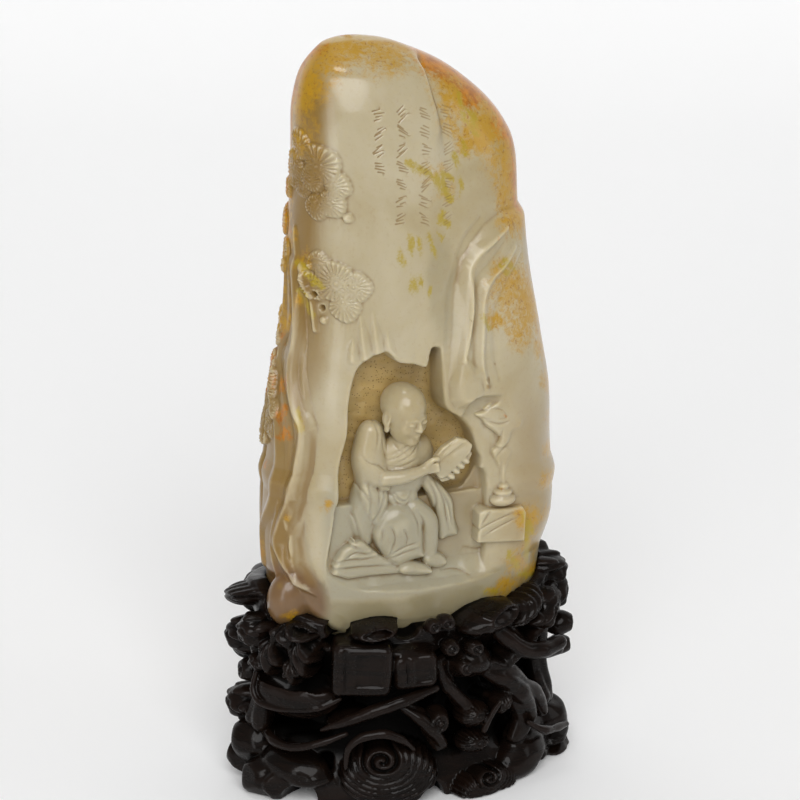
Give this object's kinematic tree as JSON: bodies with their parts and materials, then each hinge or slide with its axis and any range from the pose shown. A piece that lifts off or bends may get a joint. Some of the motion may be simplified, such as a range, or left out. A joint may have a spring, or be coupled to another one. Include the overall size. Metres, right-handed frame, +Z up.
{
  "type": "carved jade boulder on a carved wood stand",
  "caption": "Upright jade boulder carved in relief with a monk reading in a rock grotto, resting in the seat of a carved rootwork wood stand.",
  "frame": {"origin": "On the ground, under the middle of the stand.", "axes": "+Z up, -Y the way the carved face looks, +X to the right of someone facing the carving."},
  "size_m": [0.1003, 0.0655, 0.2093],
  "materials": {
    "jade": "polished pale celadon nephrite with russet and yellow skin",
    "wood": "waxed near-black hardwood"
  },
  "bodies": {
    "root": {"jade_boulder": "jade", "carved_wood_stand": "wood"}
  },
  "joints": []
}
